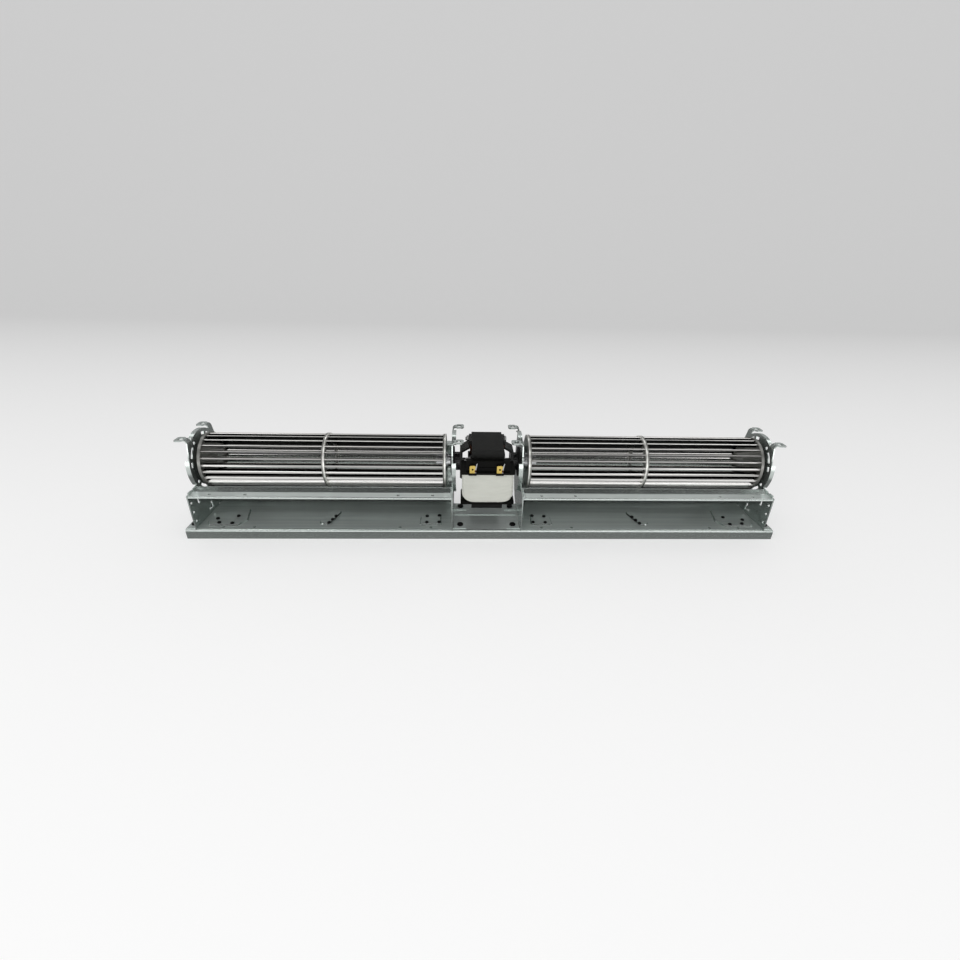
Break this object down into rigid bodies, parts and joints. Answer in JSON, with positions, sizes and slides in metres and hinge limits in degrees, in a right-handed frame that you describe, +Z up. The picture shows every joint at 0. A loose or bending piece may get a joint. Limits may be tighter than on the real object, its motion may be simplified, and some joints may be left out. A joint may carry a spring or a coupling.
{
  "type": "cross flow fan",
  "caption": "Double-ended cross flow blower: two long slatted impellers in sheet metal ducts on one rail, turned by a shaded pole motor between them.",
  "frame": {"origin": "centre of the bounding box at the rail's bottom edge", "axes": "+X along the rail and the impellers' axis, -Y towards the outlet mouths, +Z up"},
  "size_m": [0.6536, 0.0984, 0.106],
  "materials": {
    "galvanised_sheet": "satin zinc",
    "impeller_aluminium": "bright mill",
    "hub_metal": "satin",
    "screw_steel": "zinc plated",
    "shaft_steel": "ground",
    "rotor_steel": "turned",
    "sintered_bronze": "oiled",
    "black_rubber": "matte",
    "black_paint": "satin",
    "black_lacquer": "satin",
    "copper": "bare copper",
    "black_plastic": "moulded",
    "coil_tape": "off-white tape",
    "terminal_brass": "bright"
  },
  "bodies": {
    "housing": {"left_outer_end_plate": "galvanised_sheet", "right_outer_end_plate": "galvanised_sheet", "left_inner_end_plate": "galvanised_sheet", "right_inner_end_plate": "galvanised_sheet", "left_guide_plate": "galvanised_sheet", "right_guide_plate": "galvanised_sheet", "left_vortex_plate": "galvanised_sheet", "right_vortex_plate": "galvanised_sheet", "left_end_bush": "sintered_bronze", "right_end_bush": "sintered_bronze", "left_end_grommet": "black_rubber", "right_end_grommet": "black_rubber", "left_end_clip": "screw_steel", "right_end_clip": "screw_steel", "left_bearing_bracket": "black_paint", "right_bearing_bracket": "black_paint", "left_motor_bush": "sintered_bronze", "right_motor_bush": "sintered_bronze", "left_motor_mount_ring": "black_rubber", "right_motor_mount_ring": "black_rubber", "base_rail": "galvanised_sheet", "lamination_stack": "black_lacquer", "shading_loops": "copper", "coil_bobbin": "black_plastic", "coil_winding": "coil_tape", "terminals": "terminal_brass", "motor_bolts": "screw_steel", "motor_nuts": "screw_steel", "foot_screws": "screw_steel"},
    "rotor": {"left_impeller_blades": "impeller_aluminium", "right_impeller_blades": "impeller_aluminium", "left_impeller_mid_ring": "impeller_aluminium", "right_impeller_mid_ring": "impeller_aluminium", "left_impeller_drive_disc": "impeller_aluminium", "right_impeller_drive_disc": "impeller_aluminium", "left_impeller_hub": "hub_metal", "right_impeller_hub": "hub_metal", "left_hub_set_screw": "screw_steel", "right_hub_set_screw": "screw_steel", "left_impeller_end_disc": "impeller_aluminium", "right_impeller_end_disc": "impeller_aluminium", "left_stub_shaft": "shaft_steel", "right_stub_shaft": "shaft_steel", "motor_rotor": "rotor_steel", "motor_shaft": "shaft_steel"}
  },
  "joints": [
    {"name": "fan_spin", "type": "hinge", "parent": "housing", "child": "rotor", "pos_m": [0, 0.00575, 0.071], "axis": [1, 0, 0], "continuous": true}
  ]
}
